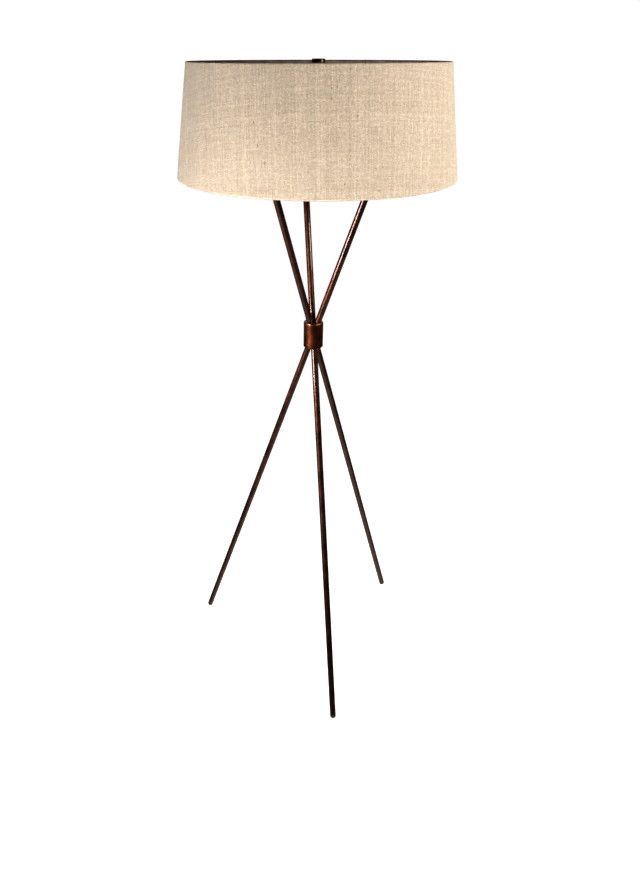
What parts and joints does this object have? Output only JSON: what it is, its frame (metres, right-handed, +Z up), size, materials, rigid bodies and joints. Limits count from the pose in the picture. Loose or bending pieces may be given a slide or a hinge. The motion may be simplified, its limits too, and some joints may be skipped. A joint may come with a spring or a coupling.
{
  "type": "tripod floor lamp",
  "caption": "Floor lamp on a tripod of slim bronze rods that cross in a small turned hub, with a wide tapered woven drum shade, harp, finial and switched socket.",
  "frame": {"origin": "on the floor, on the lamp's upright axis, midway between the three feet", "axes": "+Z up the lamp's axis; one foot points towards -Y, which is the front; +X is to the right seen from the front"},
  "size_m": [0.6099, 0.6448, 1.5675],
  "materials": {
    "bronze_rod": "oil-rubbed bronze, satin",
    "bronze_hub": "brushed antique bronze",
    "bronze_fitting": "oil-rubbed bronze, satin",
    "glide": "dark brown rubber",
    "steel_bush": "plain steel",
    "brass": "brass plated",
    "bushing": "moulded nylon",
    "lead": "PVC sheath",
    "liner": "pressed fibre",
    "screw_shell": "pressed aluminium",
    "black_plastic": "moulded phenolic",
    "bulb": "frosted white",
    "woven_cover": "natural raffia and linen weave",
    "woven_edge": "rolled weave",
    "shade_lining": "styrene backing",
    "shade_wire": "zinc-plated wire",
    "finial": "oil-rubbed bronze, semi-gloss"
  },
  "bodies": {
    "stand": {"hub_collar": "bronze_hub", "leg_front": "bronze_rod", "leg_rear_right": "bronze_rod", "leg_rear_left": "bronze_rod", "foot_glide_front": "glide", "foot_glide_rear_right": "glide", "foot_glide_rear_left": "glide", "rod_back": "bronze_rod", "rod_front_left": "bronze_rod", "rod_front_right": "bronze_rod", "rod_end_bushes": "steel_bush", "hub_nipples": "brass", "cord_outlet_bushing": "bushing", "supply_lead": "lead", "elbow_back": "bronze_fitting", "elbow_front_left": "bronze_fitting", "elbow_front_right": "bronze_fitting", "arm_back": "bronze_rod", "arm_front_left": "bronze_rod", "arm_front_right": "bronze_rod", "wiring_hub": "bronze_fitting", "wiring_hub_cap": "bronze_fitting", "socket_nipple": "brass", "nipple_locknut": "brass", "harp_saddle": "brass", "harp_wire": "brass", "harp_top_fitting": "brass", "socket_cap": "brass", "socket_shell": "brass", "socket_liner": "liner", "socket_screw_shell": "screw_shell", "switch_body": "black_plastic", "bulb_base": "screw_shell", "bulb_contact": "black_plastic", "bulb_glass": "bulb"},
    "shade": {"shade_cover": "woven_cover", "shade_lining": "shade_lining", "shade_top_ring": "shade_wire", "shade_bottom_ring": "shade_wire", "shade_top_edge": "woven_edge", "shade_bottom_edge": "woven_edge", "shade_seam": "woven_edge", "spider_hub": "shade_wire", "spider_arm_back": "shade_wire", "spider_arm_front_left": "shade_wire", "spider_arm_front_right": "shade_wire"},
    "finial": {"finial": "finial"},
    "switch_knob": {"switch_shaft": "brass", "switch_knob": "black_plastic"},
    "ferrule_left": {"harp_ferrule_left": "brass"},
    "ferrule_right": {"harp_ferrule_right": "brass"}
  },
  "joints": [
    {"name": "shade_swivel", "type": "hinge", "parent": "stand", "child": "shade", "pos_m": [0, 0, 1.5345], "axis": [0, 0, 1], "continuous": true},
    {"name": "finial_turn", "type": "hinge", "parent": "stand", "child": "finial", "pos_m": [0, 0, 1.545], "axis": [0, 0, 1], "continuous": true},
    {"name": "switch_turn", "type": "hinge", "parent": "stand", "child": "switch_knob", "pos_m": [0, -0.02, 1.387], "axis": [0, -1, 0], "continuous": true},
    {"name": "ferrule_left_slide", "type": "slide", "parent": "stand", "child": "ferrule_left", "axis": [0, 0, 1], "range_m": [0, 0.012]},
    {"name": "ferrule_right_slide", "type": "slide", "parent": "stand", "child": "ferrule_right", "axis": [0, 0, 1], "range_m": [0, 0.012]}
  ]
}
